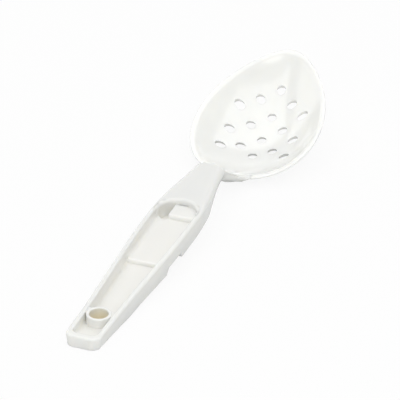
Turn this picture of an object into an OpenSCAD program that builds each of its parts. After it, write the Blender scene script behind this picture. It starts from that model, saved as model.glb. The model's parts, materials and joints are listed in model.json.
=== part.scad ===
// Perforated serving spoon, one plastic moulding drawn as its functional regions.
// The side shape is measured along the handle (y) and from its flat top face (z).
// The whole spoon is then tipped to the way it lies on a table.

/* [Bowl] */
// Length of the rim, from the neck to the tip
bowl_len = 86.2; // [84:0.2:92]
// Width over the rim at its widest
bowl_w = 58; // [54:0.2:64]
// Depth inside, below the ends of the rim
bowl_depth = 14.2; // [12:0.1:17]
// Wall at the deepest point
bowl_wall = 1.8; // [1.4:0.1:2.6]
// Wall at the rim, measured sideways
rim_t = 1.8; // [1.6:0.1:3]
// Height of the plain band that forms the rim
rim_h = 2.4; // [1.6:0.1:3.4]
// Height of the rim's upright outer face
rim_face = 0.9; // [0.6:0.05:1.4]
// Rounding of the rim's top edges
rim_round = 0.4; // [0.2:0.05:0.6]
// Dip of the rim's long sides, below a line from the neck to the tip
rim_sag = 0.8; // [0:0.1:1.5]
// Angle at which the rim rises to the tip, over the top face of the handle
bowl_tilt = 15; // [12:0.1:18]
// Drop of the rim at the neck, below the top face of the handle
bowl_drop = 19.6; // [17:0.1:22]
// Distance of the deepest point from the rim at the neck
deepest_at = 41; // [38:0.5:46]

/* [Perforations] */
// Bore of one perforation
hole_d = 4; // [3:0.1:5]
// Step across the bowl from one column to the next
hole_step_x = 7.7; // [7:0.1:8.2]
// Step along the bowl from one row to the next
hole_step_y = 7.2; // [6.6:0.1:7.6]
// Distance of the middle row from the rim at the neck
hole_mid_at = 46.5; // [44:0.5:50]
// Distance by which the single rear perforation stands forward of its row
rear_hole_shift = 1.9; // [0:0.1:3]
// Least distance from the middle of a perforation to the side of the rim
hole_edge = 8; // [6:0.5:9]

/* [Neck] */
// Length of the neck, from the handle to the rim of the bowl
neck_len = 53.2; // [50:0.2:58]
// Width of the neck at its brow, above the bowl
neck_w = 16.4; // [14:0.2:18]
// Width of the neck where it meets the rim
neck_root_w = 20; // [17:0.2:23]
// Angle at which the neck runs down to the rim, below the top face
neck_slope = 40; // [36:0.5:44]
// Rounding of the brow, where the top face turns down
brow_r = 7; // [5:0.5:12]
// Rounding along the shoulders of the neck
shoulder_r = 1.8; // [1.2:0.1:2.6]
// Thickness of the neck at the rim
neck_root_t = 1.8; // [1.4:0.1:2.4]
// Distance behind the rim at which the neck's underside turns down
foot_bend_back = 20.2; // [18:0.1:24]
// Rounding of that bend
foot_bend_r = 16; // [10:1:24]
// Height by which the foot of the neck stands over the rim
neck_root_h = 0.3; // [0.2:0.05:0.6]

/* [Handle] */
// Length of the handle, up to the neck
handle_len = 117.5; // [115:0.5:120]
// Width of the handle at its end
handle_end_w = 14.8; // [14:0.2:18]
// Width of the handle at its widest
handle_w = 21.8; // [20:0.2:25]
// Distance of the widest place from the front of the handle
taper_len = 17.5; // [13:0.5:25]
// Depth of the handle at its end
end_depth = 5.3; // [4.8:0.1:6]
// Depth of the handle in front of its heel
rear_depth = 8.9; // [8.4:0.1:9.6]
// Depth of the handle in front of the pan rest
front_depth = 10.3; // [9.8:0.1:11.5]
// Draft of the side walls
draft = 6; // [3:0.5:8]
// Corner radius of the end, seen from above
end_corner_r = 3.6; // [2:0.1:5]
// Rounding of the handle's upper edges
edge_r = 0.9; // [0.5:0.05:1.2]
// Rounding of the handle's lower edges
foot_edge_r = 0.4; // [0.2:0.05:0.8]

/* [Pocket] */
// Side wall of the pocket at the top face
wall_t = 2.2; // [2:0.1:2.4]
// End wall of the pocket at the top face
end_wall_t = 3.2; // [2.6:0.1:4]
// Floor under the pocket
floor_t = 2.9; // [2:0.1:3.2]
// Wall between the rounded front of the pocket and the front of the handle
front_wall_t = 4.5; // [4:0.5:6.5]
// Distance of the middle step behind the notch
mid_step_back = 4.5; // [1.5:0.5:7]
// Length of the front step, back from the front of the pocket
front_step_len = 10; // [8:0.5:15]
// Depth of the pocket over the front step
front_step_depth = 2.5; // [1.8:0.1:3]
// Run of the middle step's sloping face
step_run = 0.4; // [0.2:0.1:1]
// Corner radius of the pocket's back end
pocket_corner_r = 2.4; // [1.6:0.1:3]
// Rounding at the foot of the pocket's walls
pocket_foot_r = 1.2; // [0.6:0.1:1.6]
// Draft of the pocket's walls
pocket_draft = 3; // [1:0.5:5]

/* [Hanging hole] */
// Bore of the hanging hole
hang_d = 7.6; // [6:0.1:8.2]
// Outside diameter of the tube round it
hang_boss_d = 10.2; // [9.6:0.1:10.6]
// Distance of the hole from the end of the handle
hang_at = 18.9; // [16:0.1:24]
// Rounding of the tube's lip
hang_lip_r = 0.5; // [0.2:0.05:0.6]

/* [Pan rest] */
// Length of the front lug, from the notch to the front of the handle
front_lug_len = 33.5; // [32:0.5:35]
// Length of the notch, over the rim of a pan
notch_len = 12.5; // [10:0.5:14]
// Depth of the handle over the notch
notch_depth = 7.2; // [6.8:0.1:8]
// Run of the notch's sloping ends
notch_flare = 2; // [1:0.1:3]
// Length of the rear lug, which ramps down to the notch
lug_len = 28; // [20:1:32]
// Height by which the roots of the lugs stand in the handle, above the notch's ceiling
lug_root = 0.3; // [0.2:0.05:0.6]

/* [Hidden] */

// Overrun of every cut
over = 1;
// Points round the bowl, from its deepest point to the rim, and on a rounded corner
round_n = 60;
wall_n = 13;
corner_n = 3;
// Sections along each stretch of the neck, the handle and its pocket
neck_n = 6;
handle_n = 4;
pocket_n = 8;
// Sides of a perforation and of the tube round the hanging hole
hole_n = 32;
tube_n = 96;
// Rows of perforations on each side of the middle row
hole_rows = 3;
// Egg shape of the rim: wide at the neck and narrow at the tip
egg_shares = [0.18, 0.06, 0.1];
// How full the bowl is: 2 gives a parabola
fullness = 2.13;
// Shares of a rounded corner at which the end of the handle has a section
corner_shares = [0, 0.06, 0.22, 0.5, 1];
// Shares of the neck's half width that its rounded foot keeps at the brow and at the rim
neck_foot_shares = [0.38, 0.45];
// Share of the bowl's length over which the neck laps it
neck_lap_share = 0.125;
// Most of the height of a section that one rounded corner takes
corner_room_share = 0.33;

function mix(a, b, t) = a + (b - a) * t;
function clamp(t) = max(0, min(1, t));
function ease(t) = let (u = clamp(t)) u * u * (3 - 2 * u);
function steps(a, b, n) = [for (i = [0 : n]) mix(a, b, i / n)];
// The places of a list that lie beyond all that come before them
function rising(list) =
    [for (i = [0 : len(list) - 1]) if (i == 0 || list[i] > max([for (j = [0 : i - 1]) list[j]])) list[i]];
// What a corner of radius r takes off at distance d from the edge
function corner_cut(r, d) = d >= r ? 0 : r - sqrt(r * r - pow(r - max(0, d), 2));

// Rim of the bowl, seen from above: x across, y from the neck to the tip
function egg(c) = 1 - egg_shares[0] * c - egg_shares[1] * c * c - egg_shares[2] * pow(c, 3);
egg_top = max([for (t = [0 : 180]) sin(t) * egg(cos(t))]);
function rim_point(t) = [bowl_w / 2 * sin(t) * egg(cos(t)) / egg_top, bowl_len / 2 * (1 + cos(t))];
function unit(v) = v / norm(v);
function inset_point(t, d) =
    let (along = unit(rim_point(t + 1) - rim_point(t - 1)))
    rim_point(t) + d * [along[1], -along[0]];
deep = [0, deepest_at];
turns = [for (i = [0 : round_n - 1]) 360 * i / round_n];
// A point of the wall: share k of the way from the deepest point to the edge,
// which lies drop below the rim plane, under the rim's own dip
function wall_point(t, edge, depth, drop, k) =
    let (p = deep + k * (edge - deep), share = pow(k, fullness))
    [p[0], p[1], mix(-depth, -drop - rim_sag * pow(sin(t), 2), share)];
function share_at(depth, h) = pow(1 - h / depth, 1 / fullness);
outer_depth = bowl_depth + bowl_wall;
function outer_point(t, k) = wall_point(t, rim_point(t), outer_depth, rim_face, k);
function inner_point(t, k) = wall_point(t, inset_point(t, rim_t), bowl_depth, 0, k);
outer_share = share_at(outer_depth - rim_face, rim_h - rim_face);
inner_share = share_at(bowl_depth, rim_h);
// A point of the rim band, inset from its outline and below its top
function rim_at(t, inset, drop) =
    concat(inset_point(t, inset), -drop - rim_sag * pow(sin(t), 2));

// Side shape of the neck: flat, then a rounded brow, then straight down to the rim
function bend_start(corner_at, slope, r) = corner_at - r * tan(slope / 2);
function bend_end(corner_at, slope, r) = bend_start(corner_at, slope, r) + r * sin(slope);
function bend_z(y, corner_at, slope, r) =
    let (d = y - bend_start(corner_at, slope, r))
    d < 0 ? 0
    : d < r * sin(slope) ? sqrt(r * r - d * d) - r
    : (corner_at - y) * tan(slope);
rim_rear = [handle_len + neck_len, -bowl_drop];
foot_bend_at = rim_rear[0] - foot_bend_back;
brow_corner_at = rim_rear[0] - bowl_drop / tan(neck_slope);
brow_at = bend_start(brow_corner_at, neck_slope, brow_r);
brow_end_at = bend_end(brow_corner_at, neck_slope, brow_r);
foot_slope = atan((bowl_drop + neck_root_t - front_depth) / foot_bend_back);

// The table touches the end of the handle and the underside of the bowl
function side_point(p) = [
    rim_rear[0] + p[1] * cos(bowl_tilt) - p[2] * sin(bowl_tilt),
    rim_rear[1] + p[1] * sin(bowl_tilt) + p[2] * cos(bowl_tilt)
];
keel = [for (k = steps(0, outer_share, wall_n)) side_point(outer_point(180, k))];
rest_tilt = max([for (p = keel) atan((-end_depth - p[1]) / p[0])]);
heel_len = (rear_depth - end_depth) / tan(rest_tilt);
// Ends of the spoon as it lies: the upper edge of the handle's end and the tip of the rim
tip_at = rim_rear[0] + bowl_len * cos(bowl_tilt);
tip_z = rim_rear[1] + bowl_len * sin(bowl_tilt);
end_y = (edge_r - end_depth) * sin(rest_tilt);
tip_y = tip_at * cos(rest_tilt) - (tip_z + end_depth) * sin(rest_tilt)
    + rim_face * sin(bowl_tilt + rest_tilt);

// Places along the handle, from its end
widest_at = handle_len - taper_len;
pocket_front_at = handle_len - front_wall_t;
front_step_at = pocket_front_at - front_step_len;
front_at = handle_len - front_lug_len;
notch_at = front_at - notch_len;
mid_step_at = notch_at - mid_step_back;
lug_at = notch_at - lug_len;

// Plan and underside of the handle
function handle_half(y) =
    y < widest_at ? mix(handle_end_w, handle_w, ease(y / widest_at)) / 2
    : mix(handle_w, neck_w, ease((y - widest_at) / (brow_end_at - widest_at))) / 2;
function under_z(y) =
    max(-end_depth - y * tan(rest_tilt), -mix(rear_depth, front_depth, clamp((y - lug_at) / lug_len)));

// Top, underside and width of the neck
function neck_top_z(y) =
    max(rim_rear[1] + neck_root_h, bend_z(y, brow_corner_at, neck_slope, brow_r));
neck_end_at = rim_rear[0] + bowl_len * neck_lap_share;
neck_floor_z = rim_rear[1] - neck_root_t - bowl_wall;
function neck_foot_z(y) =
    max(neck_floor_z, -front_depth + bend_z(y, foot_bend_at, foot_slope, foot_bend_r));
function neck_half(y) =
    y < brow_end_at ? handle_half(y)
    : mix(neck_w, neck_root_w, ease((y - brow_end_at) / (rim_rear[0] - brow_end_at))) / 2;
function shoulder(y) =
    let (swell = (y - pocket_front_at + pocket_r) / (brow_at - pocket_front_at))
    y < brow_end_at ? mix(edge_r, shoulder_r, ease(swell))
    : mix(shoulder_r, rim_round, ease((y - brow_end_at) / (rim_rear[0] - brow_end_at)));

// A cross-section in the plane y: a trapezoid whose rounded corners touch its leaning sides
function ring(y, top_half, foot_half, top_z, foot_z, top_r, foot_r) =
    let (
        lean = atan((top_half - foot_half) / (top_z - foot_z)),
        top_x = top_half - top_r / tan(45 - lean / 2),
        foot_x = foot_half - foot_r * tan(45 - lean / 2),
        corners = [
            [foot_x, foot_z + foot_r, foot_r, -90, -lean],
            [top_x, top_z - top_r, top_r, -lean, 90],
            [-top_x, top_z - top_r, top_r, 90, 180 + lean],
            [-foot_x, foot_z + foot_r, foot_r, 180 + lean, 270]
        ]
    )
    [for (c = corners) for (a = steps(c[3], c[4], corner_n))
        [c[0] + c[2] * cos(a), y, c[1] + c[2] * sin(a)]];

// Solid through a row of rings with as many points each
module loft(rings) {
    m = len(rings[0]);
    last = (len(rings) - 1) * m;
    polyhedron(
        points = [for (r = rings) each r],
        faces = concat(
            [[for (j = [m - 1 : -1 : 0]) j]],
            [for (i = [0 : m : last - m]) for (j = [0 : m - 1])
                let (a = i + j, b = i + (j + 1) % m)
                each [[a, b, b + m], [a, b + m, a + m]]],
            [[for (j = [0 : m - 1]) last + j]]
        )
    );
}

// Surface through closed rows of points round the bowl, as faces of a polyhedron
function band_faces(row, next, m) =
    [for (j = [0 : m - 1]) let (a = j, b = (j + 1) % m)
        each [[row * m + a, next * m + a, next * m + b], [row * m + a, next * m + b, row * m + b]]];

module lay_down() {
    translate([0, -(end_y + tip_y) / 2, 0])
        rotate([rest_tilt, 0, 0])
            translate([0, 0, end_depth])
                children();
}

module in_bowl() {
    translate([0, rim_rear[0], rim_rear[1]])
        rotate([bowl_tilt, 0, 0])
            children();
}

// The wall of the bowl up to the rim band, before it is perforated
module bowl_wall_solid() {
    outer = [for (k = steps(outer_share, 0, wall_n)) if (k > 0) [for (t = turns) outer_point(t, k)]];
    inner = [for (k = steps(0, inner_share, wall_n)) if (k > 0) [for (t = turns) inner_point(t, k)]];
    m = round_n;
    foot = 2 * wall_n * m;
    polyhedron(
        points = concat(
            [for (r = outer) each r], [for (r = inner) each r],
            [[deep[0], deep[1], -outer_depth], [deep[0], deep[1], -bowl_depth]]
        ),
        faces = concat(
            [for (i = [0 : wall_n - 2]) each band_faces(i, i + 1, m)],
            [for (j = [0 : m - 1]) [(wall_n - 1) * m + j, foot, (wall_n - 1) * m + (j + 1) % m]],
            [for (j = [0 : m - 1]) [wall_n * m + (j + 1) % m, foot + 1, wall_n * m + j]],
            [for (i = [wall_n : 2 * wall_n - 2]) each band_faces(i, i + 1, m)],
            band_faces(2 * wall_n - 1, 0, m)
        )
    );
}

// Everything inside the bowl's outer surface, and above it
module bowl_space() {
    outer = [for (k = steps(outer_share, 0, wall_n)) if (k > 0) [for (t = turns) outer_point(t, k)]];
    top = [for (t = turns) concat(rim_point(t), bowl_drop)];
    band = [for (k = [1, (1 + outer_share) / 2]) [for (t = turns) outer_point(t, k)]];
    m = round_n;
    rows = concat([top], band, outer);
    last = len(rows);
    polyhedron(
        points = concat([for (r = rows) each r], [[deep[0], deep[1], -outer_depth]]),
        faces = concat(
            [[for (j = [0 : m - 1]) j]],
            [for (i = [0 : last - 2]) each band_faces(i, i + 1, m)],
            [for (j = [0 : m - 1]) [(last - 1) * m + j, last * m, (last - 1) * m + (j + 1) % m]]
        )
    );
}

module perforations() {
    half_at = function (y) let (c = 2 * y / bowl_len - 1)
        bowl_w / 2 * sqrt(1 - c * c) * egg(c) / egg_top;
    for (row = [-hole_rows : hole_rows])
        for (col = row % 2 == 0 ? [-1, 1] : [-2, 0, 2]) {
            x = col * hole_step_x;
            y = hole_mid_at + row * hole_step_y + (row == -hole_rows ? rear_hole_shift : 0);
            if (abs(x) + hole_edge < half_at(y))
                translate([x, y, -outer_depth - over])
                    cylinder(d = hole_d, h = outer_depth + over, $fn = hole_n);
        }
}

module bowl() {
    color("whitesmoke") lay_down() in_bowl() difference() {
        bowl_wall_solid();
        perforations();
    }
}

module rim() {
    corner = steps(0, 90, corner_n);
    r = rim_round;
    section = function (t) concat(
        [outer_point(t, outer_share), outer_point(t, (1 + outer_share) / 2), outer_point(t, 1)],
        [for (a = corner) rim_at(t, r - r * cos(a), r - r * sin(a))],
        [for (a = corner) rim_at(t, rim_t - r + r * sin(a), r - r * cos(a))],
        [inner_point(t, (1 + inner_share) / 2), inner_point(t, inner_share)]
    );
    sections = [for (t = turns) section(t)];
    rows = len(sections[0]);
    color("white") lay_down() in_bowl() polyhedron(
        points = [for (i = [0 : rows - 1]) for (s = sections) s[i]],
        faces = [for (i = [0 : rows - 1]) each band_faces((i + 1) % rows, i, round_n)]
    );
}

module neck() {
    bend = steps(0, neck_slope, corner_n);
    ys = concat(
        steps(handle_len, brow_at, neck_n), [for (a = bend) if (a > 0) brow_at + brow_r * sin(a)],
        [for (y = steps(brow_end_at, rim_rear[0], neck_n)) if (y > brow_end_at) y], [neck_end_at]
    );
    color("whitesmoke") lay_down() difference() {
        loft([for (y = ys)
            let (
                top = neck_top_z(y), foot = neck_foot_z(y), half = neck_half(y),
                t = ease((y - handle_len) / (brow_end_at - handle_len)),
                spread = ease((y - brow_end_at) / (rim_rear[0] - brow_end_at)),
                foot_share = mix(neck_foot_shares[0], neck_foot_shares[1], spread),
                foot_half = half * mix(1 - front_depth * tan(draft) / half, foot_share, t),
                room = (top - foot) * corner_room_share
            )
            ring(y, half, foot_half, top, foot, min(shoulder(y), room),
                min(mix(foot_edge_r, shoulder_r, t), room))]);
        in_bowl() bowl_space();
    }
}

// The handle as one block, before its pocket and notch are cut
module handle_block() {
    ys = concat(
        [for (s = corner_shares) end_corner_r * s], steps(end_corner_r, heel_len, handle_n),
        steps(heel_len, lug_at, handle_n), [lug_at, notch_at], steps(front_at, handle_len, neck_n)
    );
    loft([for (y = rising(ys))
        let (
            cut = corner_cut(edge_r, y), z = under_z(y),
            half = handle_half(y) - corner_cut(end_corner_r, y)
        )
        ring(y, half, half + z * tan(draft), -cut, z + min(cut, foot_edge_r), shoulder(y), foot_edge_r)]);
}

// Half width of the pocket at the top face
pocket_r = handle_half(pocket_front_at) - wall_t;
function pocket_half(y) =
    let (into = y - pocket_front_at + pocket_r)
    min(handle_half(y) - wall_t, into > 0 ? sqrt(pow(pocket_r, 2) - into * into) : handle_w)
    - corner_cut(pocket_corner_r, y - end_wall_t);
function pocket_floor_z(y) =
    y <= mid_step_at ? under_z(min(y, lug_at)) + floor_t : -notch_depth + floor_t;

module pocket() {
    ys = concat(
        [for (s = corner_shares) end_wall_t + pocket_corner_r * s], [heel_len],
        steps(heel_len, mid_step_at, handle_n),
        steps(mid_step_at + step_run, pocket_front_at - pocket_r, handle_n),
        [for (a = steps(0, 90, pocket_n)) if (a < 90) pocket_front_at - pocket_r * (1 - sin(a))]
    );
    lean = tan(pocket_draft);
    loft([for (y = rising(ys))
        let (
            half = pocket_half(y), z = pocket_floor_z(y),
            foot = half + z * lean, r = min(pocket_foot_r, foot / 2)
        )
        ring(y, half + over * lean, foot, over, z, r, r)]);
}

// Block of the handle's full width between two distances from its end
module slab(from, to, low, high) {
    translate([-handle_w, from, low]) cube([2 * handle_w, to - from, high - low]);
}

// The side shape of a cut or a lug, through the handle's full width
module across(side_shape) {
    rotate([90, 0, 90]) linear_extrude(2 * handle_w, center = true) polygon(side_shape);
}

low_z = -front_depth - over;
root_z = -notch_depth + lug_root;
flare_run = notch_flare * (notch_depth + low_z) / (notch_depth - front_depth);

module handle() {
    color("whitesmoke") lay_down() difference() {
        handle_block();
        pocket();
        across([
            [lug_at, root_z], [notch_at, root_z], [notch_at, -notch_depth],
            [front_at, -notch_depth], [front_at, root_z], [handle_len + over, root_z],
            [handle_len + over, low_z], [lug_at, low_z]
        ]);
        translate([0, hang_at, -front_depth])
            cylinder(d = hang_boss_d, h = 2 * front_depth, $fn = tube_n);
    }
}

// Tube round the hanging hole: it passes the floor and stands up to the top face
module hang_boss() {
    r = hang_lip_r;
    lip = steps(0, 90, corner_n);
    profile = concat(
        [[hang_d / 2, -front_depth], [hang_boss_d / 2, -front_depth]],
        [for (a = lip) [hang_boss_d / 2 - r + r * cos(a), r * sin(a) - r]],
        [for (a = lip) [hang_d / 2 + r - r * sin(a), r * cos(a) - r]]
    );
    color("white") lay_down() difference() {
        translate([0, hang_at, 0]) rotate_extrude($fn = tube_n) polygon(profile);
        translate([0, 0, -end_depth]) rotate([-rest_tilt, 0, 0])
            slab(-over, heel_len, -2 * front_depth, 0);
    }
}

module front_step() {
    color("white") lay_down() intersection() {
        pocket();
        slab(front_step_at, handle_len, -front_depth, -front_step_depth);
    }
}

module front_lug() {
    color("whitesmoke") lay_down() intersection() {
        handle_block();
        across([
            [front_at, root_z], [handle_len + over, root_z], [handle_len + over, low_z],
            [front_at + flare_run, low_z], [front_at, -notch_depth]
        ]);
    }
}

module rear_lug() {
    color("whitesmoke") lay_down() intersection() {
        handle_block();
        across([
            [lug_at, root_z], [notch_at, root_z], [notch_at, -notch_depth],
            [notch_at - flare_run, low_z], [lug_at, low_z]
        ]);
    }
}

bowl();
rim();
neck();
handle();
hang_boss();
front_step();
front_lug();
rear_lug();
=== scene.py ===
import json
import math

import bmesh
import bpy
from mathutils import Matrix, Vector

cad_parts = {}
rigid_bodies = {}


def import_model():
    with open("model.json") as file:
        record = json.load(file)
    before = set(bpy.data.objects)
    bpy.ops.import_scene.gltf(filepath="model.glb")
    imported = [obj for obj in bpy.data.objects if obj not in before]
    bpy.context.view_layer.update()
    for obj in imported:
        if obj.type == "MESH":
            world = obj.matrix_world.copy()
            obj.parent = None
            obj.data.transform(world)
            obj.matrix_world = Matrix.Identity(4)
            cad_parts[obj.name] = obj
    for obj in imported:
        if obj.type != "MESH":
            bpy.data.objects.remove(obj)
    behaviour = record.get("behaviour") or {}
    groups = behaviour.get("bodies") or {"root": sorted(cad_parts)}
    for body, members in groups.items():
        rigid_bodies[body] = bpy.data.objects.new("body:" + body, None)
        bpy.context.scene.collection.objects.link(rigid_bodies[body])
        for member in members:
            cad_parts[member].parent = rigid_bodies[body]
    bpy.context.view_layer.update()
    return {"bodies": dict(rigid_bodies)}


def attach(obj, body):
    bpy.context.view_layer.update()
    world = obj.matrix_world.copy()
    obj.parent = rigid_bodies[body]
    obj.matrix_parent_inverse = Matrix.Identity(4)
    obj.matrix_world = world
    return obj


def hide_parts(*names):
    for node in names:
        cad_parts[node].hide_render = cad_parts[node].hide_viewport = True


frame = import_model()
BODY = next(iter(frame["bodies"]))

# Sizes of the spoon in millimetres. Y runs along the handle from its end, and Z is
# measured from the handle's flat top face, until the spoon is laid on the table.
HANDLE_LEN, NECK_LEN = 117.5, 53.2
RIM_AT = HANDLE_LEN + NECK_LEN

# The handle, and the notch between its two lugs
END_W, WIDEST_W, NECK_W, ROOT_W = 14.8, 21.8, 16.4, 20.0
WIDEST_AT = HANDLE_LEN - 17.5
END_DEPTH, REAR_DEPTH, FRONT_DEPTH = 5.3, 8.9, 10.3
DRAFT = math.tan(math.radians(6))
END_CORNER_R, EDGE_R, FOOT_EDGE_R = 3.6, 0.9, 0.4
HEEL_LEN, LUG_LEN, NOTCH_LEN, FRONT_LUG_LEN = 33.0, 28.0, 12.5, 33.5
FRONT_AT = HANDLE_LEN - FRONT_LUG_LEN
NOTCH_AT = FRONT_AT - NOTCH_LEN
LUG_AT = NOTCH_AT - LUG_LEN
NOTCH_DEPTH, NOTCH_FLARE, NOTCH_CORNER_R = 7.2, 2.0, 0.5

# The channel in the handle's top, with its two steps
WALL_T, END_WALL_T, FLOOR_T = 2.2, 3.2, 2.9
POCKET_FRONT = HANDLE_LEN - 4.5
POCKET_DRAFT = math.tan(math.radians(3))
POCKET_CORNER_R, POCKET_FOOT_R, WIDE_FOOT_R, FRONT_FOOT_R = 2.4, 1.2, 2.6, 0.5
MID_STEP_AT = NOTCH_AT - 4.5
FRONT_STEP_AT = POCKET_FRONT - 10.0
FRONT_STEP_DEPTH, STEP_RUN = 2.5, 0.4
MID_EDGE_R, FRONT_EDGE_R, STEP_FOOT_R = 1.1, 1.3, 0.2
WALL_LIP_R, FRONT_LIP_R, LIP_RUN_SHARE = 0.6, 1.5, 1.6

# The open corner to the left of the front step, and the slot in it
GROOVE_EDGE, GROOVE_BACK, GROOVE_TOP = 3.2, 1.4, 2.0
SLOT_X, SLOT_Y, SLOT_DEPTH, SLOT_REACH = -5.2, 101.4, 7.0, 14.0

# The hanging tube, rooted in the floor, and its webs
HANG_D, BOSS_D, HANG_AT, LIP_R, TUBE_ROOT = 7.6, 10.2, 18.9, 0.5, 1.0
WEB_DROP, WEB_SHIFT, WEB_LEN, WEB_SUNK, WEB_ROUND = 0.5, 1.6, 4.4, 0.3, 0.5

# The neck: a brow, then a ramp down onto the rim
NECK_SLOPE, BROW_R = math.radians(40), 7.0
RAMP_BLEND, RAMP_LIFT = 1.6, 0.06
SHOULDER_R, RAMP_R, FOOT_SHOULDER_R = 3.0, 5.5, 1.8
SHOULDER_SHARE, FOOT_ROUND_SHARE = 0.55, 0.33
FOOT_BEND_BACK, FOOT_BEND_R = 20.2, 16.0
ROOT_T = 1.8
NECK_FOOT_SHARES = (0.38, 0.45)

# The bowl, its rim and its perforations
BOWL_LEN, BOWL_W, BOWL_DEPTH, BOWL_WALL = 86.2, 58.0, 14.2, 1.8
BOWL_TILT, BOWL_DROP = math.radians(15), 19.6
DEEPEST_AT, FULLNESS, RINGS, LAST_RING_SHARE = 41.0, 2.13, 30, 0.03
EGG_SHARES = (0.18, 0.06, 0.1)
RIM_T, RIM_FACE, RIM_SAG, RIM_ROUND, RIM_INNER_ROUND = 1.8, 0.9, 0.8, 0.4, 1.2
GAP_RIM_SHARE, GAP_WALL_SHARE, GAP_RISE = 0.9, 0.6, 25.0
HOLE_D, HOLE_DRAFT, HOLE_STEP_X, HOLE_STEP_Y = 4.0, 0.4, 7.7, 7.2
HOLE_MID_AT, HOLE_EDGE, HOLE_ROWS, REAR_HOLE_SHIFT = 46.5, 8.0, 3, 1.9

# How the spoon lies on the table, and metres in a millimetre
REST_TILT = math.radians(6.22247)
MID_Y = 125.742
MM = 0.001

# Places closer than HAIR count as one, and a face is looked for within NEAR of its place.
# A cutter reaches OVERRUN past what it cuts, and sections stand some GAPs apart. An edge
# that turns less than SHARP stays as it is, and one that runs across or upright reaches
# further that way than its value here. Faces that meet below SMOOTH_BELOW look smooth.
HAIR, NEAR, OVERRUN, GAP = 0.01, 0.2, 1.0, 1.0
SHARP, ACROSS, UPRIGHT = 0.3, 3.0, 1.0
SMOOTH_BELOW = math.radians(32)

# The finishes: two whites that drift into each other, the roughness from smooth to dull,
# the moulding's waves, the clear coat, and how far light sinks in, in metres
# The bowl's whites are painted light: set lighter than the handle's, for the brighter light inside the
# bowl.
BOWL_LOOK = {
    "whites": ((0.845, 0.85, 0.825), (0.88, 0.885, 0.85)),
    "rough": (0.09, 0.15), "waves": 1.0, "coat": 0.7, "sinks": 0.0024,
}
# The handle's whites are painted shade: set darker, so that its lit top faces come out at the right
# tone.
HANDLE_LOOK = {
    "whites": ((0.80, 0.805, 0.793), (0.835, 0.84, 0.813)),
    "rough": (0.16, 0.24), "waves": 0.6, "coat": 0.0, "sinks": 0.0018,
}
# Painted light and shade: a lighter, warm tone deep in the channel stands for light that passes
# through the plastic and bounces there, and a beige down the hanging hole is painted shade. Each fades
# in over the depth given next, in millimetres.
PAINTED_CHANNEL_LIGHT_TONE, PAINTED_BORE_SHADE = (0.85, 0.845, 0.814), (0.84, 0.74, 0.50)
PAINTED_CHANNEL_LIGHT_FADE, PAINTED_BORE_SHADE_FADE = 4.0, 3.5
PLASTIC_IOR, COAT_ROUGH, SUNK_SHARE, SUNK_TINT = 1.6, 0.05, 0.8, (1.0, 0.97, 0.9)
CLOUD_SCALE, GLOSS_CLOUD_TIMES, CLOUD_SPAN = 28.0, 2.7, (0.35, 0.65)
WAVE_SCALE, POLISH_SCALE = 55.0, 1400.0
WAVE_HEIGHT, POLISH_SHARE = 0.00014, 0.006

# The photograph's camera, found from the outlines, holes and hanging tube: its place in
# the spoon's own frame, its angles, and its focal length in pixels of the picture
EYE_AT = (369.127, -866.618, 615.669)
EYE_AZ, EYE_EL, EYE_ROLL = -0.3537, 0.5316, -0.0084
FOCAL_PX, PICTURE_PX, FILM_MM, SHIFT_X = 2894.7, 400, 36, -0.001

# The lamps: name, place, turn in degrees, glow, width and length
LAMPS = (
    ("key", (0.0, 0.31, 1.2), (0, 0, 20), 0.95, 2.0, 1.65),
    ("front", (0.42, -1.1, 0.88), (53, 0, 21), 2.15, 1.5, 0.8),
    ("side", (-1.3, 0.3, 0.5), (0, -69, -13), 0.6, 0.8, 1.2),
)
ROOM_LEVEL = 0.4
FLOOR_W, FLOOR_PALE, FLOOR_WHITE_SHARE = 12, 0.9, 0.9


def mix(a, b, t):
    return a + (b - a) * t


def clamp(t):
    return max(0.0, min(1.0, t))


def ease(t):
    u = clamp(t)
    return u * u * (3 - 2 * u)


def steps(a, b, n):
    return [mix(a, b, i / n) for i in range(n + 1)]


# Side shape and widths of the handle and the neck

def bend_z(y, corner_at, slope, r):
    """Height of a line that runs level, rounds a bend and then falls at a slope."""
    d = y - corner_at + r * math.tan(slope / 2)
    if d < 0:
        return 0.0
    if d < r * math.sin(slope):
        return math.sqrt(r * r - d * d) - r
    return (corner_at - y) * math.tan(slope)


BROW_CORNER = RIM_AT - BOWL_DROP / math.tan(NECK_SLOPE)
BROW_AT = BROW_CORNER - BROW_R * math.tan(NECK_SLOPE / 2)
BROW_END = BROW_AT + BROW_R * math.sin(NECK_SLOPE)
FOOT_BEND_AT = RIM_AT - FOOT_BEND_BACK
FOOT_SLOPE = math.atan((BOWL_DROP + ROOT_T - FRONT_DEPTH) / FOOT_BEND_BACK)


def handle_half(y):
    if y < WIDEST_AT:
        return mix(END_W, WIDEST_W, ease(y / WIDEST_AT)) / 2
    return mix(WIDEST_W, NECK_W, ease((y - WIDEST_AT) / (BROW_END - WIDEST_AT))) / 2


POCKET_R = handle_half(POCKET_FRONT) - WALL_T


def body_half(y):
    if y < BROW_END:
        return handle_half(y)
    return mix(NECK_W, ROOT_W, ease((y - BROW_END) / (RIM_AT - BROW_END))) / 2


def under_z(y):
    """The underside, which rises to the handle's end along the heel that it lies on."""
    heel = -END_DEPTH - y * math.tan(REST_TILT)
    return max(heel, -mix(REAR_DEPTH, FRONT_DEPTH, clamp((y - LUG_AT) / LUG_LEN)))


def top_z(y):
    """The top face, its brow, and the ramp that flows out onto the rim of the bowl."""
    ramp = bend_z(y, BROW_CORNER, NECK_SLOPE, BROW_R)
    rim = -BOWL_DROP + (y - RIM_AT) * math.tan(BOWL_TILT) + RAMP_LIFT
    h = clamp(0.5 + (rim - ramp) / (2 * RAMP_BLEND))
    return mix(ramp, rim, h) + RAMP_BLEND * h * (1 - h)


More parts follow.
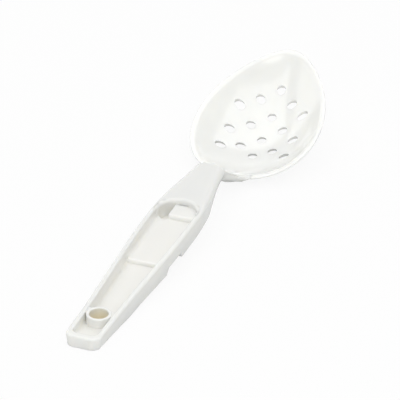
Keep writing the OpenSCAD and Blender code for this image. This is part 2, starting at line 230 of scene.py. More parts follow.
def foot_z(y):
    bend = -FRONT_DEPTH + bend_z(y, FOOT_BEND_AT, FOOT_SLOPE, FOOT_BEND_R)
    return max(-BOWL_DROP - ROOT_T - BOWL_WALL, bend) if y > HANDLE_LEN else under_z(y)


def shoulder_r(y):
    """How round the top edges are: more towards the brow and the ramp, least at the rim."""
    if y < BROW_AT:
        swell = (y - POCKET_FRONT + POCKET_R) / (BROW_AT - POCKET_FRONT)
        return mix(EDGE_R, SHOULDER_R, ease(swell))
    if y < BROW_END:
        return mix(SHOULDER_R, RAMP_R, ease((y - BROW_AT) / (BROW_END - BROW_AT)))
    along = clamp((y - BROW_END) / (RIM_AT - BROW_END))
    widest = (top_z(y) - foot_z(y)) * SHOULDER_SHARE
    return min(mix(RAMP_R, RIM_ROUND, ease(along ** 1.5)), widest)


def foot_half(y):
    half = body_half(y)
    if y < HANDLE_LEN:
        return half + under_z(y) * DRAFT
    t = ease((y - HANDLE_LEN) / (BROW_END - HANDLE_LEN))
    spread = ease((y - BROW_END) / (RIM_AT - BROW_END))
    share = mix(NECK_FOOT_SHARES[0], NECK_FOOT_SHARES[1], spread)
    return half * mix(1 - FRONT_DEPTH * DRAFT / half, share, t)


def foot_r(y):
    t = ease((y - HANDLE_LEN) / (BROW_END - HANDLE_LEN))
    widest = (top_z(y) - foot_z(y)) * FOOT_ROUND_SHARE
    return min(mix(FOOT_EDGE_R, FOOT_SHOULDER_R, t), widest)


def pocket_half(y):
    into = y - POCKET_FRONT + POCKET_R
    half = handle_half(y) - WALL_T
    return min(half, math.sqrt(max(HAIR, POCKET_R**2 - into * into))) if into > 0 else half


# Outline and depth of the bowl, where c runs from -1 at its rear to 1 at its tip

def egg(c):
    """What turns an ellipse into the bowl's egg shape."""
    return 1 - EGG_SHARES[0] * c - EGG_SHARES[1] * c * c - EGG_SHARES[2] * c**3


EGG_TOP = max(math.sin(math.radians(t)) * egg(math.cos(math.radians(t))) for t in range(181))


def egg_half(half_w, c):
    return half_w * math.sqrt(1 - c * c) * egg(c) / EGG_TOP


def bowl_z(x, y):
    """The height of the bowl's inner surface at a place."""
    way = math.atan2(x, y - DEEPEST_AT)
    reach = math.hypot(x, y - DEEPEST_AT)
    by_direction = []
    for i in range(720):
        t = math.radians(i / 2)
        rim_x = (BOWL_W / 2 - RIM_T) * math.sin(t) * egg(math.cos(t)) / EGG_TOP
        rim_y = BOWL_LEN / 2 + (BOWL_LEN / 2 - RIM_T) * math.cos(t) - DEEPEST_AT
        off = abs(math.remainder(math.atan2(rim_x, rim_y) - way, 2 * math.pi))
        by_direction.append((off, reach / math.hypot(rim_x, rim_y)))
    return -BOWL_DEPTH + BOWL_DEPTH * min(by_direction)[1] ** FULLNESS


# Modelling by hand, in edit mode

def select_only(*pieces):
    bpy.ops.object.select_all(action="DESELECT")
    for piece in pieces:
        piece.select_set(True)
    bpy.context.view_layer.objects.active = pieces[-1]


def work_on(piece):
    select_only(piece)
    bpy.ops.object.mode_set(mode="EDIT")


def leave_off():
    bpy.ops.object.mode_set(mode="OBJECT")


def face_out_and_leave_off():
    bpy.ops.mesh.select_all(action="SELECT")
    bpy.ops.mesh.normals_make_consistent(inside=False)
    leave_off()


def pick(kind, test):
    """Selects the vertices, edges or faces that pass a test, and nothing else."""
    bpy.ops.mesh.select_mode(type=kind)
    bpy.ops.mesh.select_all(action="DESELECT")
    data = bpy.context.edit_object.data
    mesh = bmesh.from_edit_mesh(data)
    for part in {"VERT": mesh.verts, "EDGE": mesh.edges, "FACE": mesh.faces}[kind]:
        if test(part):
            part.select_set(True)
    mesh.select_flush_mode()
    bmesh.update_edit_mesh(data)


def middle_of(edge):
    """The place along Y and the height of an edge's middle."""
    a, b = (v.co for v in edge.verts)
    return (a.y + b.y) / 2, (a.z + b.z) / 2


def runs_across(edge):
    return abs(edge.verts[0].co.x - edge.verts[1].co.x) > ACROSS


def is_upright_at(edge, y):
    a, b = (v.co for v in edge.verts)
    return abs(a.y - y) < HAIR and abs(b.y - y) < HAIR and abs(a.z - b.z) > UPRIGHT


def named(name):
    """Names the piece that was just made, and its mesh."""
    piece = bpy.context.view_layer.objects.active
    piece.name = name
    piece.data.name = name
    return piece


def cylinder(name, d, low, high, x=0.0, y=0.0, sides=96):
    bpy.ops.object.select_all(action="DESELECT")
    bpy.ops.mesh.primitive_cylinder_add(
        vertices=sides, radius=d / 2, depth=high - low, location=(x, y, (low + high) / 2)
    )
    bpy.ops.object.transform_apply()
    return named(name)


def block(name, xs, ys, zs):
    """A block between two places along each axis."""
    bpy.ops.object.select_all(action="DESELECT")
    middle = [(low + high) / 2 for low, high in (xs, ys, zs)]
    bpy.ops.mesh.primitive_cube_add(size=1, location=middle)
    piece = named(name)
    piece.scale = [high - low for low, high in (xs, ys, zs)]
    bpy.ops.object.transform_apply()
    return piece


def drawn_out(name, ys, section):
    """A bar drawn out along Y through four-cornered sections. A section is its half
    widths at the top and at the foot, then the heights of its top and foot."""
    bpy.ops.object.select_all(action="DESELECT")
    bpy.ops.mesh.primitive_plane_add(size=2, rotation=(math.pi / 2, 0, 0), location=(0, ys[0], 0))
    bpy.ops.object.transform_apply()
    piece = named(name)
    work_on(piece)
    at, now = ys[0], (1.0, 1.0, 1.0, -1.0)
    for i, y in enumerate(ys):
        new = section(y)
        if i:
            pick("FACE", lambda f: all(abs(v.co.y - at) < HAIR for v in f.verts))
            bpy.ops.mesh.extrude_region_move(TRANSFORM_OT_translate={"value": (0, y - at, 0)})
        for k in (0, 1):
            pick("VERT", lambda v: abs(v.co.y - y) < HAIR and abs(v.co.z - now[k + 2]) < HAIR)
            bpy.ops.transform.translate(value=(0, 0, new[k + 2] - now[k + 2]))
            bpy.ops.transform.resize(value=(new[k] / now[k], 1, 1), center_override=(0, y, new[k + 2]))
        at, now = y, new
    face_out_and_leave_off()
    return piece


def finish_modifier(piece, modifier):
    select_only(piece)
    bpy.ops.object.modifier_apply(modifier=modifier.name)


def round_edges(piece, radius_at, segments):
    """Rounds each edge to the radius that radius_at gives, and leaves it sharp at zero."""
    mesh = bmesh.new()
    mesh.from_mesh(piece.data)
    offsets = [radius_at(edge) * math.tan(edge.calc_face_angle(0) / 2) for edge in mesh.edges]
    mesh.free()
    widest = max(offsets)
    old = piece.data.attributes.get("bevel_weight_edge")
    if old:
        piece.data.attributes.remove(old)
    weights = piece.data.attributes.new("bevel_weight_edge", "FLOAT", "EDGE")
    weights.data.foreach_set("value", [offset / widest for offset in offsets])
    rounding = piece.modifiers.new("rounding", "BEVEL")
    rounding.limit_method = "WEIGHT"
    rounding.offset_type = "OFFSET"
    rounding.width = widest
    rounding.segments = segments
    rounding.use_clamp_overlap = False
    finish_modifier(piece, rounding)


def combine(piece, tool, operation):
    """Cuts a tool from a piece, adds it or keeps what they share, and clears the tool away."""
    cut = piece.modifiers.new("cut", "BOOLEAN")
    cut.operation = operation
    cut.solver = "EXACT"
    cut.object = tool
    finish_modifier(piece, cut)
    bpy.data.objects.remove(tool)


IN_BOWL = Matrix.Translation((0, RIM_AT, -BOWL_DROP)) @ Matrix.Rotation(BOWL_TILT, 4, "X")
TIPPED = Matrix.Rotation(REST_TILT, 4, "X") @ Matrix.Translation((0, 0, END_DEPTH))
ON_TABLE = Matrix.Translation((0, -MID_Y, 0)) @ TIPPED


def lay_down(piece, place=Matrix.Identity(4)):
    """Brings a piece from its own frame to the table, in metres."""
    select_only(piece)
    piece.matrix_world = Matrix.Scale(MM, 4) @ ON_TABLE @ place
    bpy.ops.object.transform_apply()


# The bowl

RING_SHARES = [1 - (1 - LAST_RING_SHARE) * (i / RINGS) for i in range(RINGS + 1)]


def egg_outline(name, half_w, half_l, rise, sides):
    """A wire in the outline of the rim, whose long sides dip."""
    bpy.ops.object.select_all(action="DESELECT")
    bpy.ops.mesh.primitive_circle_add(vertices=sides, radius=1, fill_type="NOTHING")
    piece = named(name)
    work_on(piece)
    bpy.ops.mesh.select_all(action="SELECT")
    bpy.ops.transform.resize(value=(1, half_l, 1))
    bpy.ops.transform.translate(value=(0, BOWL_LEN / 2, rise))
    for i in range(1, sides // 2):
        c = math.cos(2 * math.pi * i / sides)
        y = BOWL_LEN / 2 + half_l * c
        pick("VERT", lambda v: abs(v.co.y - y) < HAIR)
        bpy.ops.transform.resize(value=(half_w * egg(c) / EGG_TOP, 1, 1))
        bpy.ops.transform.translate(value=(0, 0, -RIM_SAG * (1 - c * c)))
    bpy.ops.mesh.select_all(action="SELECT")
    return piece


def sink(depth, shares):
    """Extrudes the selected ring down to the deepest point, one ring for each share."""
    deep = (0, DEEPEST_AT, -depth)
    for last, k in zip(shares, shares[1:]):
        s = k / last
        bpy.ops.mesh.extrude_edges_move()
        bpy.ops.transform.resize(value=(s, s, s**FULLNESS), center_override=deep)
    bpy.ops.mesh.edge_face_add()


def on_rim(v, half_l):
    """Whether a vertex lies on the rim's top, on the outline that is half_l long to each side."""
    c = (v.co.y - BOWL_LEN / 2) / half_l
    half = egg_half(BOWL_W / 2 - (BOWL_LEN / 2 - half_l), max(-1.0, min(1.0, c)))
    return abs(v.co.z + RIM_SAG * (1 - c * c)) < HAIR and abs(abs(v.co.x) - half) < 5 * HAIR


def bowl():
    half_w, half_l = BOWL_W / 2, BOWL_LEN / 2
    piece = egg_outline("spoon_bowl", half_w, half_l, -RIM_FACE, 144)
    sink(BOWL_DEPTH + BOWL_WALL, RING_SHARES)
    pick("EDGE", lambda e: e.is_boundary)
    bpy.ops.mesh.extrude_edges_move(TRANSFORM_OT_translate={"value": (0, 0, RIM_FACE)})
    bpy.ops.mesh.extrude_edges_move()
    inner = ((half_w - RIM_T) / half_w, (half_l - RIM_T) / half_l, 1)
    bpy.ops.transform.resize(value=inner, center_override=(0, half_l, 0))
    sink(BOWL_DEPTH, RING_SHARES)
    for half, r in ((half_l, RIM_ROUND), (half_l - RIM_T, RIM_INNER_ROUND)):
        pick("EDGE", lambda e: all(on_rim(v, half) for v in e.verts))
        bpy.ops.mesh.bevel(offset=r, segments=6, affect="EDGES")
    face_out_and_leave_off()
    return piece


def perforation(x, y, deep):
    """A cutter that is narrowest at the bowl's inner surface and widens downwards."""
    top = bowl_z(x, y)
    wide = HOLE_D + 2 * HOLE_DRAFT * (top + deep + OVERRUN)
    piece = cylinder("perforation", wide, -deep - OVERRUN, top, x, y, 64)
    work_on(piece)
    pick("FACE", lambda f: all(v.co.z > top - HAIR for v in f.verts))
    narrow = HOLE_D / wide
    bpy.ops.transform.resize(value=(narrow, narrow, 1), center_override=(x, y, top))
    bpy.ops.mesh.extrude_region_move(TRANSFORM_OT_translate={"value": (0, 0, 4 * OVERRUN)})
    leave_off()
    return piece


def perforations():
    """The cutters in their lattice, of which the rearmost stands a little forward."""
    deep = BOWL_DEPTH + BOWL_WALL
    cutters = []
    for row in range(-HOLE_ROWS, HOLE_ROWS + 1):
        for col in ((-1, 1) if row % 2 == 0 else (-2, 0, 2)):
            x = col * HOLE_STEP_X
            y = HOLE_MID_AT + row * HOLE_STEP_Y + (REAR_HOLE_SHIFT if row == -HOLE_ROWS else 0)
            if abs(x) + HOLE_EDGE < egg_half(BOWL_W / 2, 2 * y / BOWL_LEN - 1):
                cutters.append(perforation(x, y, deep))
    select_only(*cutters)
    bpy.ops.object.join()
    return bpy.context.view_layer.objects.active


# The handle and the neck

def handle_bar():
    """The handle and the neck in one bar, with sections closer where its outline bends."""
    ys = [0.0] + steps(6 * GAP, HEEL_LEN, 6) + [HEEL_LEN + 5 * GAP, LUG_AT]
    ys += steps(LUG_AT + 5 * GAP, POCKET_FRONT - 3 * GAP, 15) + [POCKET_FRONT + 2 * GAP, HANDLE_LEN]
    ys += steps(HANDLE_LEN + 3 * GAP, BROW_AT - GAP, 8) + steps(BROW_AT, BROW_END, 8)
    ys += steps(BROW_END + 1.5 * GAP, RIM_AT + 4 * OVERRUN, 16)
    bar = drawn_out("spoon_handle", ys, lambda y: (body_half(y), foot_half(y), top_z(y), foot_z(y)))
    work_on(bar)
    pick("EDGE", lambda e: is_upright_at(e, 0))
    bpy.ops.mesh.bevel(offset=END_CORNER_R, segments=10, affect="EDGES")
    leave_off()

    def radius(e):
        y, z = middle_of(e)
        across = runs_across(e) and y > HAIR
        if e.calc_face_angle(0) < SHARP or y > ys[-1] - HAIR or across:
            return 0.0
        return shoulder_r(y) if z > (top_z(y) + foot_z(y)) / 2 else foot_r(y)

    round_edges(bar, radius, 6)
    return bar


def pocket():
    """The cutter for the channel, whose floor rises in two steps towards its round front."""
    back = END_WALL_T
    arc = [POCKET_FRONT - POCKET_R * (1 - math.sin(math.radians(a))) for a in range(0, 88, 6)]

    def floor_z(y):
        if y < MID_STEP_AT + HAIR:
            return under_z(min(y, LUG_AT)) + FLOOR_T
        return -NOTCH_DEPTH + FLOOR_T if y < FRONT_STEP_AT + HAIR else -FRONT_STEP_DEPTH

    ys = [back] + steps(back + 4 * GAP, HEEL_LEN, 5)
    ys += steps(HEEL_LEN + 5 * GAP, MID_STEP_AT, 5) + [MID_STEP_AT + STEP_RUN]
    ys += steps(MID_STEP_AT + 6 * GAP, FRONT_STEP_AT, 5) + [FRONT_STEP_AT + STEP_RUN]
    ys += [y for y in arc if y > FRONT_STEP_AT + GAP]

    def section(y):
        half, z = pocket_half(y), floor_z(y)
        return (half + OVERRUN * POCKET_DRAFT, half + z * POCKET_DRAFT, OVERRUN, z)

    piece = drawn_out("pocket", ys, section)
    work_on(piece)
    pick("EDGE", lambda e: is_upright_at(e, back))
    bpy.ops.mesh.bevel(offset=POCKET_CORNER_R, segments=8, affect="EDGES")
    leave_off()

    def radius(e):
        y = middle_of(e)[0]
        high = max(v.co.z for v in e.verts) > -FRONT_STEP_DEPTH / 2
        if high or e.calc_face_angle(0) < SHARP:
            return 0.0
        if not runs_across(e) or y < back + HAIR:
            widening = ease((y - NOTCH_AT) / NOTCH_LEN / 2)
            return mix(POCKET_FOOT_R, WIDE_FOOT_R, widening) if y < FRONT_STEP_AT else FRONT_FOOT_R
        if abs(y - MID_STEP_AT - STEP_RUN) < HAIR:
            return MID_EDGE_R
        return FRONT_EDGE_R if abs(y - FRONT_STEP_AT - STEP_RUN) < HAIR else STEP_FOOT_R

    round_edges(piece, radius, 5)
    combine(piece, groove(arc), "UNION")
    return piece


def groove(arc):
    """The floor to the left of the raised front step, with a deep slot in its corner."""
    start = FRONT_STEP_AT - GROOVE_BACK
    ys = [start] + [y for y in arc if y > start + GAP]

    def space(name, depth):
        def section(y):
            half = pocket_half(y) - 2 * HAIR
            return (half - GROOVE_TOP * POCKET_DRAFT, half - depth * POCKET_DRAFT, -GROOVE_TOP, -depth)

        return drawn_out(name, ys, section)

    piece, slot = space("groove", NOTCH_DEPTH - FLOOR_T), space("slot", SLOT_DEPTH)
    corner_y = SLOT_Y + SLOT_REACH
    corner = cylinder("slot_corner", 2 * SLOT_REACH, -SLOT_REACH, SLOT_REACH, SLOT_X, corner_y, 4)
    combine(slot, corner, "INTERSECT")
    combine(piece, slot, "UNION")
    side = block("side", (-WIDEST_W, -GROOVE_EDGE), (0, HANDLE_LEN), (-FRONT_DEPTH, OVERRUN))
    combine(piece, side, "INTERSECT")
    return piece


def round_pocket_lip(bar):
    def radius(e):
        y = middle_of(e)[0]
        flat = all(abs(v.co.z) < HAIR for v in e.verts)
        inside = all(abs(v.co.x) < handle_half(v.co.y) - WALL_T + POCKET_DRAFT + HAIR for v in e.verts)
        if not flat or not inside or e.calc_face_angle(0) < SHARP or y > POCKET_FRONT + NEAR:
            return 0.0
        swell = (y - POCKET_FRONT + LIP_RUN_SHARE * POCKET_R) / POCKET_R
        return mix(WALL_LIP_R, FRONT_LIP_R, ease(swell))

    round_edges(bar, radius, 5)


def notch():
    low = -FRONT_DEPTH - OVERRUN
    run = NOTCH_FLARE * (NOTCH_DEPTH + low) / (NOTCH_DEPTH - FRONT_DEPTH)
    piece = block("notch", (-WIDEST_W, WIDEST_W), (NOTCH_AT, FRONT_AT), (low, -NOTCH_DEPTH))
    work_on(piece)
    pick("FACE", lambda f: all(v.co.z < low + HAIR for v in f.verts))
    middle = (0, (NOTCH_AT + FRONT_AT) / 2, low)
    bpy.ops.transform.resize(value=(1, (NOTCH_LEN + 2 * run) / NOTCH_LEN, 1), center_override=middle)
    pick("EDGE", lambda e: all(v.co.z > -NOTCH_DEPTH - HAIR for v in e.verts) and runs_across(e))
    bpy.ops.mesh.bevel(offset=NOTCH_CORNER_R, segments=3, affect="EDGES")
    leave_off()
    return piece


def bowl_gap():
    """The space of the bowl, reaching into its rim and wall: the neck ends in there."""
    inset = RIM_T * GAP_RIM_SHARE
    piece = egg_outline("gap", BOWL_W / 2 - inset, BOWL_LEN / 2 - inset, 0, 96)
    sink(BOWL_DEPTH + BOWL_WALL * GAP_WALL_SHARE, RING_SHARES[::2])
    pick("EDGE", lambda e: e.is_boundary)
    bpy.ops.mesh.extrude_edges_move(TRANSFORM_OT_translate={"value": (0, 0, GAP_RISE)})
    bpy.ops.mesh.edge_face_add()
    face_out_and_leave_off()
    select_only(piece)
    piece.matrix_world = IN_BOWL
    bpy.ops.object.transform_apply()
    return piece


def webs():
    """The bar that shows as a web on each side of the hanging tube."""
    half = pocket_half(HANG_AT) + WEB_SUNK
    back, top = HANG_AT + WEB_SHIFT - WEB_LEN / 2, -WEB_DROP
    piece = block("webs", (-half, half), (back, back + WEB_LEN), (under_z(HANG_AT) + TUBE_ROOT, top))
    work_on(piece)
    pick("EDGE", lambda e: all(v.co.z > top - HAIR for v in e.verts) and runs_across(e))
    bpy.ops.mesh.bevel(offset=WEB_ROUND, segments=4, affect="EDGES")
    leave_off()
    return piece


def tube():
    """The tube around the hanging hole, with a rounded lip."""
    piece = cylinder("tube", BOSS_D, under_z(HANG_AT) + TUBE_ROOT, 0, y=HANG_AT)
    work_on(piece)
    pick("EDGE", lambda e: all(abs(v.co.z) < HAIR for v in e.verts))
    bpy.ops.mesh.bevel(offset=LIP_R, segments=5, affect="EDGES")
    leave_off()
    return piece


def bore():
    """The hanging hole's cutter, which flares at the top to round the tube's lip."""
    piece = cylinder("bore", HANG_D, -FRONT_DEPTH - 2 * OVERRUN, -LIP_R, y=HANG_AT)
    work_on(piece)
    at, r = -LIP_R, HANG_D / 2
    for a in (18, 36, 54, 72, 88):
        z = -LIP_R + LIP_R * math.sin(math.radians(a))
        new = HANG_D / 2 + LIP_R * (1 - math.cos(math.radians(a)))
        pick("FACE", lambda f: all(abs(v.co.z - at) < HAIR / 4 for v in f.verts))
        bpy.ops.mesh.extrude_region_move(TRANSFORM_OT_translate={"value": (0, 0, z - at)})
        bpy.ops.transform.resize(value=(new / r, new / r, 1), center_override=(0, HANG_AT, z))
        at, r = z, new
    pick("FACE", lambda f: all(abs(v.co.z - at) < HAIR / 4 for v in f.verts))
    bpy.ops.mesh.extrude_region_move(TRANSFORM_OT_translate={"value": (0, 0, 2 * OVERRUN)})
    leave_off()
    return piece


def handle():
    bar = handle_bar()
    combine(bar, pocket(), "DIFFERENCE")
    round_pocket_lip(bar)
    combine(bar, notch(), "DIFFERENCE")
    combine(bar, bowl_gap(), "DIFFERENCE")
    combine(bar, webs(), "UNION")
    combine(bar, tube(), "UNION")
    combine(bar, bore(), "DIFFERENCE")
    return bar


def smooth(piece):
    select_only(piece)
    bpy.ops.object.shade_smooth_by_angle(angle=SMOOTH_BELOW)
    level = piece.modifiers.new("level", "WEIGHTED_NORMAL")
    level.keep_sharp = True
    finish_modifier(piece, level)


# Marks on the handle's faces, which its finish reads: depth in the channel for painted light, and
# depth in the hanging hole for painted shade

def mark(piece, name, value_at):
    """Keeps a value for each corner of each face, found from its face's middle and its place."""
    values = []
    for face in piece.data.polygons:
        for k in face.vertices:
            values.append(value_at(face.center, piece.data.vertices[k].co))
    piece.data.attributes.new(name, "FLOAT", "CORNER").data.foreach_set("value", values)


def in_bore(middle):
    near = math.hypot(middle.x, middle.y - HANG_AT) < HANG_D / 2 + NEAR
    return near and under_z(middle.y) + NEAR < middle.z < -NEAR / 2


# How deep a place lies down the hanging hole, for the painted shade there
def painted_bore_shade_depth(middle, place):
    return clamp(-place.z / PAINTED_BORE_SHADE_FADE) if in_bore(middle) else 0.0


def painted_channel_light_depth(middle, place):
    """How deep a place lies in the channel, for the painted light there, where neither the notch nor
    the underside counts.
    """
    inside = abs(middle.x) < handle_half(middle.y) - WALL_T + NEAR / 2 and middle.y < POCKET_FRONT
    by_notch = NOTCH_AT - NOTCH_FLARE < middle.y < FRONT_AT + NOTCH_FLARE
    in_notch = by_notch and middle.z < -NOTCH_DEPTH + NOTCH_CORNER_R
    if not inside or in_notch or in_bore(middle) or middle.z < under_z(middle.y) + FLOOR_T / 2:
        return 0.0
    return clamp(-place.z / PAINTED_CHANNEL_LIGHT_FADE)


# Finish

def group(name, inputs, outputs):
    """An empty shader node group with named sockets, and its input and output nodes."""
    tree = bpy.data.node_groups.new(name, "ShaderNodeTree")
    for label, kind, value in inputs:
        socket = tree.interface.new_socket(label, in_out="INPUT", socket_type=kind)
        if value is not None:
            socket.default_value = value
    for label, kind in outputs:
        tree.interface.new_socket(label, in_out="OUTPUT", socket_type=kind)
    return tree, tree.nodes.new("NodeGroupInput"), tree.nodes.new("NodeGroupOutput")


def melt_clouds():
    """Soft drifts in the plastic's colour and gloss, as the melt leaves them."""
    tree, given, out = group(
        "melt_clouds",
        (("Place", "NodeSocketVector", None), ("Scale", "NodeSocketFloat", CLOUD_SCALE)),
        (("Tint", "NodeSocketFloat"), ("Gloss", "NodeSocketFloat")),
    )
    for label, detail, times in (("Tint", 2.0, 1.0), ("Gloss", 4.0, GLOSS_CLOUD_TIMES)):
        size = tree.nodes.new("ShaderNodeMath")
        size.operation = "MULTIPLY"
        size.inputs[1].default_value = times
        noise = tree.nodes.new("ShaderNodeTexNoise")
        noise.inputs["Detail"].default_value = detail
        span = tree.nodes.new("ShaderNodeMapRange")
        span.inputs["From Min"].default_value = CLOUD_SPAN[0]
        span.inputs["From Max"].default_value = CLOUD_SPAN[1]
        tree.links.new(given.outputs["Scale"], size.inputs[0])
        tree.links.new(size.outputs[0], noise.inputs["Scale"])
        tree.links.new(given.outputs["Place"], noise.inputs["Vector"])
        tree.links.new(noise.outputs["Fac"], span.inputs["Value"])
        tree.links.new(span.outputs["Result"], out.inputs[label])
    return tree


def mould_skin():
    """The height of a moulded surface: slow waves, and the mould's fine polish marks."""
    tree, given, out = group(
        "mould_skin",
        (("Place", "NodeSocketVector", None), ("Waves", "NodeSocketFloat", 1.0),
         ("Polish", "NodeSocketFloat", POLISH_SHARE)),
        (("Height", "NodeSocketFloat"),),
    )
    total = None
    for label, scale, detail in (("Waves", WAVE_SCALE, 1.0), ("Polish", POLISH_SCALE, 3.0)):
        noise = tree.nodes.new("ShaderNodeTexNoise")
        noise.inputs["Scale"].default_value = scale
        noise.inputs["Detail"].default_value = detail
        amount = tree.nodes.new("ShaderNodeMath")
        amount.operation = "MULTIPLY_ADD" if total else "MULTIPLY"
        tree.links.new(given.outputs["Place"], noise.inputs["Vector"])
        tree.links.new(noise.outputs["Fac"], amount.inputs[0])
        tree.links.new(given.outputs[label], amount.inputs[1])
        if total:
            tree.links.new(total.outputs[0], amount.inputs[2])
        total = amount
    tree.links.new(total.outputs[0], out.inputs["Height"])
    return tree


def blend_colours(material, first, second, share):
    """A mix of two colours, each a value or a socket, by a share's socket."""
    mixer = material.node_tree.nodes.new("ShaderNodeMix")
    mixer.data_type = "RGBA"
    for socket, given in ((mixer.inputs[6], first), (mixer.inputs[7], second)):
        if isinstance(given, tuple):
            socket.default_value = (*given, 1)
        else:
            material.node_tree.links.new(given, socket)
    material.node_tree.links.new(share, mixer.inputs[0])
    return mixer.outputs[2]


def moulded_plastic(name, clouds, skin, look):
    """White plastic with a painted warm light deep in the channel, and a painted beige shade down the
    hanging hole.
    """
    material = bpy.data.materials.new(name)
    material.use_nodes = True
    nodes, links = material.node_tree.nodes, material.node_tree.links
    shader = nodes["Principled BSDF"]
    shader.inputs["IOR"].default_value = PLASTIC_IOR
    shader.inputs["Coat Weight"].default_value = look["coat"]
    shader.inputs["Coat Roughness"].default_value = COAT_ROUGH
    shader.inputs["Subsurface Weight"].default_value = SUNK_SHARE
    shader.inputs["Subsurface Radius"].default_value = SUNK_TINT
    shader.inputs["Subsurface Scale"].default_value = look["sinks"]
    place = nodes.new("ShaderNodeTexCoord").outputs["Object"]

    drift = nodes.new("ShaderNodeGroup")
    drift.node_tree = clouds
    drift.inputs["Scale"].default_value = CLOUD_SCALE
    links.new(place, drift.inputs["Place"])
    colour = blend_colours(material, *look["whites"], drift.outputs["Tint"])
    # Painted light deep in the channel and painted shade down the hanging hole, each by its mark
    for label, tone in (("painted_channel_light", PAINTED_CHANNEL_LIGHT_TONE), ("bore", PAINTED_BORE_SHADE)):
        depth = nodes.new("ShaderNodeAttribute")
        depth.attribute_name = label
        colour = blend_colours(material, colour, tone, depth.outputs["Fac"])
    links.new(colour, shader.inputs["Base Color"])

    rough = nodes.new("ShaderNodeMapRange")
    rough.inputs["To Min"].default_value, rough.inputs["To Max"].default_value = look["rough"]
    links.new(drift.outputs["Gloss"], rough.inputs["Value"])
    links.new(rough.outputs["Result"], shader.inputs["Roughness"])

    height = nodes.new("ShaderNodeGroup")
    height.node_tree = skin
    height.inputs["Waves"].default_value = look["waves"]
    height.inputs["Polish"].default_value = POLISH_SHARE
    links.new(place, height.inputs["Place"])
    bump = nodes.new("ShaderNodeBump")
    bump.inputs["Distance"].default_value = WAVE_HEIGHT
    links.new(height.outputs["Height"], bump.inputs["Height"])
    links.new(bump.outputs["Normal"], shader.inputs["Normal"])
    return material


# Camera, lamps and floor

def camera():
    look = Vector((
        math.sin(EYE_AZ) * math.cos(EYE_EL), math.cos(EYE_AZ) * math.cos(EYE_EL), -math.sin(EYE_EL)
    ))
    side = Vector((math.cos(EYE_AZ), -math.sin(EYE_AZ), 0))
    down = look.cross(side)
    across = side * math.cos(EYE_ROLL) + down * math.sin(EYE_ROLL)
    below = down * math.cos(EYE_ROLL) - side * math.sin(EYE_ROLL)
    turn = Matrix((across, -below, -look)).transposed().to_4x4()
    stand = ON_TABLE @ Matrix.Translation(EYE_AT) @ turn
    data = bpy.data.cameras.new("camera")
    data.sensor_width = FILM_MM
    data.lens = FOCAL_PX / PICTURE_PX * FILM_MM
    data.shift_x = SHIFT_X
    data.clip_start, data.clip_end = 0.1, 20
    eye = bpy.data.objects.new("camera", data)
    bpy.context.scene.collection.objects.link(eye)
    stand_in_metres = Matrix.Translation(stand.translation * MM)
    eye.matrix_world = stand_in_metres @ stand.to_quaternion().to_matrix().to_4x4()
    bpy.context.scene.camera = eye


def light_room():
    """White to the eye and in reflections, and a softer level of light on the spoon."""
    world = bpy.data.worlds.new("studio")
    bpy.context.scene.world = world
    world.use_nodes = True
    nodes, links = world.node_tree.nodes, world.node_tree.links
    room = nodes["Background"]
    room.inputs["Color"].default_value = (1, 1, 1, 1)
    path = nodes.new("ShaderNodeLightPath")
    seen = path.outputs["Is Camera Ray"]
    for kind in ("Is Glossy Ray", "Is Transmission Ray"):
        either = nodes.new("ShaderNodeMath")
        either.operation = "MAXIMUM"
        links.new(seen, either.inputs[0])
        links.new(path.outputs[kind], either.inputs[1])
        seen = either.outputs[0]
    level = nodes.new("ShaderNodeMapRange")
    level.inputs["To Min"].default_value = ROOM_LEVEL
    level.inputs["To Max"].default_value = 1.0
    links.new(seen, level.inputs["Value"])
    links.new(level.outputs["Result"], room.inputs["Strength"])


def lamps():
    for name, place, turn, glow, width, length in LAMPS:
        lamp = bpy.data.lights.new(name, "AREA")
        lamp.shape = "RECTANGLE"
        lamp.energy = glow * math.pi * width * length
        lamp.size = width
        lamp.size_y = length
        light = bpy.data.objects.new(name, lamp)
        bpy.context.scene.collection.objects.link(light)
        light.location = place
        light.rotation_euler = [math.radians(a) for a in turn]


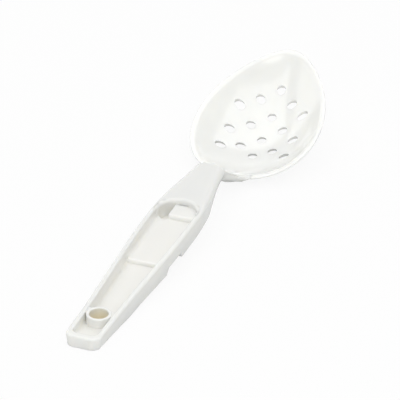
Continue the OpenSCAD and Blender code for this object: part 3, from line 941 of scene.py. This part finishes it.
def pale_floor():
    """A matt floor that is nearly white to the eye, so that it keeps a faint shadow."""
    bpy.ops.object.select_all(action="DESELECT")
    bpy.ops.mesh.primitive_plane_add(size=FLOOR_W)
    floor = named("floor")
    material = bpy.data.materials.new("pale_floor")
    material.use_nodes = True
    tree = material.node_tree
    tree.nodes.clear()
    output = tree.nodes.new("ShaderNodeOutputMaterial")
    matt = tree.nodes.new("ShaderNodeBsdfDiffuse")
    matt.inputs["Color"].default_value = (FLOOR_PALE, FLOOR_PALE, FLOOR_PALE, 1)
    white = tree.nodes.new("ShaderNodeEmission")
    blend = tree.nodes.new("ShaderNodeMixShader")
    path = tree.nodes.new("ShaderNodeLightPath")
    share = tree.nodes.new("ShaderNodeMath")
    share.operation = "MULTIPLY"
    share.inputs[1].default_value = FLOOR_WHITE_SHARE
    tree.links.new(path.outputs["Is Camera Ray"], share.inputs[0])
    tree.links.new(share.outputs[0], blend.inputs[0])
    tree.links.new(matt.outputs[0], blend.inputs[1])
    tree.links.new(white.outputs[0], blend.inputs[2])
    tree.links.new(blend.outputs[0], output.inputs["Surface"])
    floor.data.materials.append(material)


camera()
clouds, skin = melt_clouds(), mould_skin()
bowl_finish = moulded_plastic("bowl_plastic", clouds, skin, BOWL_LOOK)
handle_finish = moulded_plastic("handle_plastic", clouds, skin, HANDLE_LOOK)

spoon_bowl = bowl()
combine(spoon_bowl, perforations(), "DIFFERENCE")
smooth(spoon_bowl)
lay_down(spoon_bowl, IN_BOWL)

spoon_handle = handle()
smooth(spoon_handle)
# Masks for the painted light in the channel and the painted shade in the hanging hole
mark(spoon_handle, "painted_channel_light", painted_channel_light_depth)
mark(spoon_handle, "bore", painted_bore_shade_depth)
lay_down(spoon_handle)

for piece, finish, nodes in (
    (spoon_bowl, bowl_finish, ("bowl", "rim")),
    (spoon_handle, handle_finish,
     ("handle", "neck", "hang_boss", "front_step", "front_lug", "rear_lug")),
):
    piece.data.materials.clear()
    piece.data.materials.append(finish)
    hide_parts(*nodes)
    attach(piece, BODY)

bpy.context.scene.view_settings.view_transform = "Standard"
light_room()
lamps()
pale_floor()
